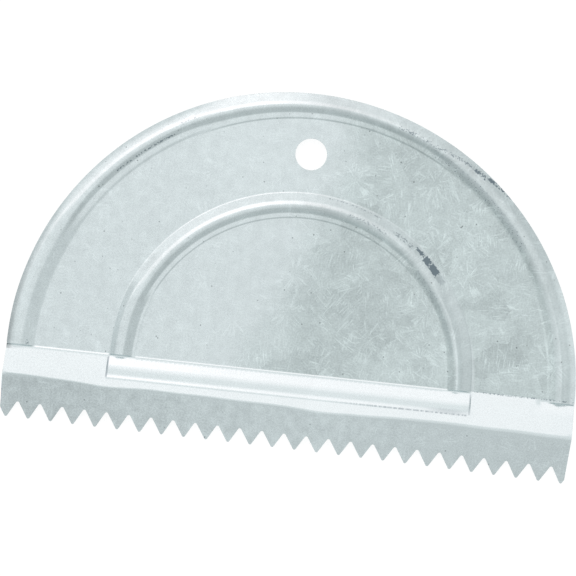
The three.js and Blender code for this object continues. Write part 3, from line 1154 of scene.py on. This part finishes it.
# Soft painted highlights and painted shade along the ribs
def painted_highlights_and_shade(ring, rows):
    radius, angle = ring
    return total(
        radius.bell(middle, width) * angle.between(low, high, fade) * tone
        for middle, width, low, high, fade, tone in rows
    )


def painted_highlight_lines(ring, rows):
    """Painted highlights: bright lines that fade out above the last angle."""
    radius, angle = ring
    return total(
        radius.between(inner, outer, soft) * (1.0 - angle.step(last - fade, last + fade)) * tone
        for inner, outer, soft, last, fade, tone in rows
    )


def galvanised_steel():
    material = bpy.data.materials.new("galvanised_steel")
    material.use_nodes = True
    graph = Graph(material.node_tree)
    x, y, along, above = press_fields(graph)
    flat = graph.vector(x, y)
    arc = polar(graph, along - ARC_SHIFT, above + ARC_CENTRE_DEPTH)
    rim = polar(graph, along, above + RIM_CENTRE_DEPTH)
    # Marks where the press rubbed the zinc off, and painted shade along the bar
    marks = press_marks_and_shade(graph, flat, along, above, arc, rim)

    first_seed, second_seed, fan_seed = GRAIN_SEEDS
    needles, grain = needle_grains(graph, x, y, first_seed, GRAIN_SIZE)
    finer, grain_two = needle_grains(graph, x + FINE_GRAIN_SHIFT, y, second_seed, FINE_GRAIN_SIZE)
    fans = needle_fans(graph, x, y, fan_seed, FAN_SIZE)
    spangle = highest(graph, [needles, finer * 0.8, fans])

    plate = above.step(*PLATE_EDGE)
    strip = 1.0 - y.step(*STRIP_EDGE)
    past_arc = arc[0] - ARC_FOOT_RADIUS
    past_rim = rim[0] - RIM_FOOT_RADIUS
    ribs = past_arc.between(*ARC_RISE) + past_rim.step(*RIM_RISE)
    cloud = graph.noise(flat, CLOUD_SCALE, 3.0) - 0.5
    # Right of the slanting line the zinc is rougher and painted darker as shade, less so on the ribs
    turn = x + DULL_SHADE_LINE_SHIFT - (y - DULL_SHADE_LINE_HEIGHT) * DULL_SHADE_LINE_SLANT + cloud * DULL_SHADE_LINE_CLOUD
    dull_and_shaded = turn.step(*DULL_SHADE_LINE) * plate * (1.0 - ribs.clamp(0.0, 1.0) * (1.0 - DULL_SHADE_ON_RIBS))
    worn = ribs.clamp(0.0, 1.0) * plate * x.step(*WORN_SPAN)
    mottle = graph.noise(flat, MOTTLE_SCALE, 3.0) - 0.5
    across_scale, along_scale = DRAWN_SCALES
    drawn = graph.noise(graph.vector(x * across_scale, y * along_scale, 3.0), 1.0, 2.0) - 0.5
    fine = graph.noise(flat, FINE_SCALE, 2.0) - 0.5
    sparse = graph.noise(flat, SPARSE_SCALE, 1.0).step(0.5, 0.6) * (plate + strip)
    specks = graph.node("ShaderNodeTexVoronoi", {"Vector": flat, "Scale": SPECK_SCALE}, output="Distance")
    speck = (1.0 - specks.step(*SPECK_RADII)) * mottle.step(-0.05, 0.08) * (plate + strip)
    crest = (past_arc.between(*ARC_CREST) + past_rim.step(*RIM_CREST)) * plate * x.bell(*CREST_PLACE)

    tone = ZINC_TONE + dull_and_shaded * DULL_SHADE_TONE + worn * WORN_TONE + speck * SPECK_TONE + crest * CREST_TONE
    tone = tone + spangle * ((plate + strip) * SPANGLE_TONE + sparse * SPANGLE_SPARSE_TONE)
    tone = tone + dull_and_shaded * (spangle * SPANGLE_DULL_TONE + (grain_two - 0.5) * FINE_GRAIN_TONE)
    bright_grain, dull_grain = GRAIN_TONES
    tone = tone + (grain - 0.5) * (bright_grain + dull_and_shaded * dull_grain)
    # The strip, which leans away from the light, is painted darker as shade
    strip_shade_tone = STRIP_SHADE_TONE + x.bell(*STRIP_MIDDLE) * STRIP_MIDDLE_TONE
    tone = tone + strip * (strip_shade_tone + x.step(*STRIP_LEFT_END) * STRIP_RIGHT_TONE)
    share = MOTTLE_BAND_SHARE + plate * MOTTLE_PLATE_SHARE
    share = share + strip * (MOTTLE_STRIP_SHARE - x.step(*MOTTLE_STRIP_FADE))
    tone = tone + (mottle * MOTTLE_TONE + drawn * DRAWN_TONE) * share
    fine_tone = FINE_TONE - x.step(*FINE_FADE_SPAN) * FINE_FADE + strip * FINE_STRIP_TONE
    tone = tone + fine * (fine_tone + plate * (FINE_PLATE_TONE + dull_and_shaded * FINE_DULL_TONE))
    tone = tone + (patch(x, y, BRIGHT_PATCH) - patch(x, y, DARK_PATCH)) * PATCH_TONE
    tone = tone + painted_flank_shade(rim) + (painted_highlights_and_shade(arc, ARC_PAINTED_LIGHT) + painted_highlights_and_shade(rim, RIM_PAINTED_LIGHT)) * plate
    tone = tone + (painted_highlight_lines(arc, ARC_HIGHLIGHT_LINES) + painted_highlight_lines(rim, RIM_HIGHLIGHT_LINES)) * plate
    bright_zinc = graph.blend(dull_and_shaded.clamp(0.0, 1.0), colour(*BRIGHT_ZINC), colour(*BRIGHT_DULL_ZINC))
    steel = graph.blend((tone * ZINC_SCALE).clamp(0.0, 1.0), colour(*DARKEST_ZINC), bright_zinc)
    # Bare steel where the press rubbed the zinc off, and the same colour as painted shade along the bar
    steel = graph.blend(marks, steel, colour(*BARE_STEEL_AND_SHADE))

    rough = ROUGHNESS + dull_and_shaded * ROUGH_DULL + worn * ROUGH_WORN + spangle * ROUGH_SPANGLE
    rough = rough + mottle * ROUGH_MOTTLE + marks * ROUGH_MARKS
    height = fine + spangle * 0.3
    bump = graph.node("ShaderNodeBump", {"Strength": 0.2, "Distance": GRAIN_DEPTH, "Height": height})
    inputs = {"Base Color": steel, "Metallic": 1.0, "Roughness": rough, "Normal": bump}
    surface = graph.node("ShaderNodeBsdfPrincipled", inputs)
    graph.node("ShaderNodeOutputMaterial", {"Surface": surface})
    return material


# Studio: a soft light over a white floor

# Places in the light are P along X and Q along Y, the slopes of a surface that would mirror them straight up
WIDE_LIGHT = 0.93
WIDE_MIDDLE = 0.08
WIDE_REACH = 0.2
WIDE_FADES = (0.35, 0.66)
WIDE_FADE_SPAN = (-0.45, -0.1)
WIDE_FALL_LIMIT = 0.29
UPPER_LIGHT = 0.065
UPPER_SPAN = (0.02, 0.09)

# Light from beyond the round edge, which the band mirrors, and the flanks that face it
FAR_LIGHT = 0.205
FAR_SPAN = (0.08, 0.26)
FAR_LEAN = 0.4
FAR_LEAN_LIMITS = (-0.08, 0.04)
FAR_LOW_FADE = 0.3
FAR_LOW_SPAN = (0.4, 0.5)
FAR_RIGHT_FADE = 0.8
FAR_RIGHT_SPAN = (0.3, 0.6)
FAR_END_SPAN = (0.55, 0.8)

# A lamp beyond the round edge, half way up, brighter at its left, and a faint light from the left
LAMP_LEFT = 0.48
LAMP_RIGHT = 0.12
LAMP_TURN_SPAN = (-0.07, 0.0)
LAMP_START_SPAN = (0.28, 0.36)
LAMP_STOP_SPAN = (0.4, 0.58)
LAMP_FAR_SPAN = (0.05, 0.3)
LAMP_END_SPAN = (0.08, 0.2)
LAMP_GAP = 0.4
LAMP_GAP_PLACE = (-0.8, 0.1)
SIDE_LIGHT = 0.09
SIDE_SPAN = (-0.99, -0.88)
SIDE_START_SPAN = (0.3, 0.5)
SIDE_STOP_SPAN = (0.8, 1.0)

# Red of the light: dim light is a little bluer than bright light
LEAST_RED = 0.9
RED_RISE = 0.105
BRIGHT_RED_RISE = 0.15
BRIGHT_RED_START = 1.05
BRIGHT_RED_LIMIT = 0.3

# Floor, in metres
FLOOR_REACH = 6.0
FLOOR_DROP = 0.00005
FLOOR_GREY = 0.3
FLOOR_GLOW = 0.8


def studio_world():
    """Light by direction: wide and soft, with more light and a lamp beyond the round edge."""
    world = bpy.data.worlds.new("studio")
    bpy.context.scene.world = world
    world.use_nodes = True
    graph = Graph(world.node_tree)
    direction = graph.node("ShaderNodeTexCoord", output="Generated")
    dx, dy, dz = graph.parts(direction)
    lift = (dz + 1.0).clamp(0.1, 2.0)
    p = dx / lift
    q = dy / lift
    steep = (p * p + q * q) ** 0.5

    sideways = p / steep.clamp(0.02, 9.0)
    light = wide_light(p, q) + far_light(p, q, steep, sideways) + lamp_light(p, q, steep, sideways)
    side = (1.0 - sideways.step(*SIDE_SPAN)) * steep.step(*SIDE_START_SPAN)
    light = light + side * (1.0 - steep.step(*SIDE_STOP_SPAN)) * SIDE_LIGHT
    bright = (light - BRIGHT_RED_START).clamp(0.0, BRIGHT_RED_LIMIT)
    tint = graph.vector(LEAST_RED + light * RED_RISE + bright * BRIGHT_RED_RISE, 1.0, 1.0)

    seen = graph.node("ShaderNodeLightPath", output="Is Camera Ray")
    studio = graph.node("ShaderNodeBackground", {"Color": tint, "Strength": light})
    white = graph.node("ShaderNodeBackground", {"Color": (1.0, 1.0, 1.0, 1.0), "Strength": 1.0})
    both = graph.node("ShaderNodeMixShader", {0: seen, 1: studio, 2: white})
    graph.node("ShaderNodeOutputWorld", {"Surface": both})


def wide_light(p, q):
    up = q - WIDE_MIDDLE
    off_centre = (p * p + up * up) ** 0.5
    left_fade, right_fade = WIDE_FADES
    fade = left_fade + p.step(*WIDE_FADE_SPAN) * (right_fade - left_fade)
    upper = q.step(*UPPER_SPAN) * UPPER_LIGHT
    return WIDE_LIGHT + upper - ((off_centre - WIDE_REACH) * fade).clamp(0.0, WIDE_FALL_LIMIT)


def far_light(p, q, steep, sideways):
    light = q.step(*FAR_SPAN) * (FAR_LIGHT + (p * FAR_LEAN).clamp(*FAR_LEAN_LIMITS))
    light = light * (1.0 - q.step(*FAR_LOW_SPAN) * FAR_LOW_FADE)
    light = light * (1.0 - sideways.step(*FAR_RIGHT_SPAN) * FAR_RIGHT_FADE)
    return light * (1.0 - steep.step(*FAR_END_SPAN))


def lamp_light(p, q, steep, sideways):
    lamp = steep.step(*LAMP_START_SPAN) * (1.0 - steep.step(*LAMP_STOP_SPAN)) * q.step(*LAMP_FAR_SPAN)
    lamp = lamp * (LAMP_LEFT - p.step(*LAMP_TURN_SPAN) * (LAMP_LEFT - LAMP_RIGHT))
    return lamp * (1.0 - p.step(*LAMP_END_SPAN)) * (1.0 - sideways.bell(*LAMP_GAP_PLACE) * LAMP_GAP)


def studio_floor():
    signs = [(-1, -1), (1, -1), (1, 1), (-1, 1)]
    mesh = bpy.data.meshes.new("floor")
    mesh.from_pydata([(x * FLOOR_REACH, y * FLOOR_REACH, -FLOOR_DROP) for x, y in signs], [], [(0, 1, 2, 3)])
    material = bpy.data.materials.new("floor")
    material.use_nodes = True
    graph = Graph(material.node_tree)
    seen = graph.node("ShaderNodeLightPath", output="Is Camera Ray")
    mirrored = graph.node("ShaderNodeLightPath", output="Is Glossy Ray")
    paint = graph.node("ShaderNodeBsdfDiffuse", {"Color": (FLOOR_GREY, FLOOR_GREY, FLOOR_GREY, 1.0)})
    strength = (seen + mirrored) * FLOOR_GLOW
    glow = graph.node("ShaderNodeEmission", {"Color": (1.0, 1.0, 1.0, 1.0), "Strength": strength})
    both = graph.node("ShaderNodeAddShader", {0: paint, 1: glow})
    graph.node("ShaderNodeOutputMaterial", {"Surface": both})
    mesh.materials.append(material)
    floor = bpy.data.objects.new("floor", mesh)
    bpy.context.scene.collection.objects.link(floor)


def photo_camera(plate_front):
    """Straight over the plate at the photograph's distance, turned as the tool lies in it."""
    lens = bpy.data.cameras.new("camera")
    lens.sensor_width = SENSOR_WIDTH
    lens.lens = SENSOR_WIDTH * VIEW_DISTANCE / VIEW_WIDTH
    lens.clip_start = 0.01
    lens.clip_end = 50.0
    camera = bpy.data.objects.new("camera", lens)
    bpy.context.scene.collection.objects.link(camera)
    x, y = VIEW_CENTRE
    camera.location = (x * METRES, (y + BLANK_CENTRE_Y) * METRES, plate_front + VIEW_DISTANCE * METRES)
    camera.rotation_euler = (0.0, 0.0, VIEW_TURN)
    bpy.context.scene.camera = camera


bpy.context.scene.view_settings.view_transform = "Standard"
sheet, places = make_sheet(galvanised_steel())
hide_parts("spreader_sheet")
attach(sheet, "root")
studio_world()
studio_floor()
photo_camera((SHEET_THICKNESS - places[:, 2].min()) * METRES)
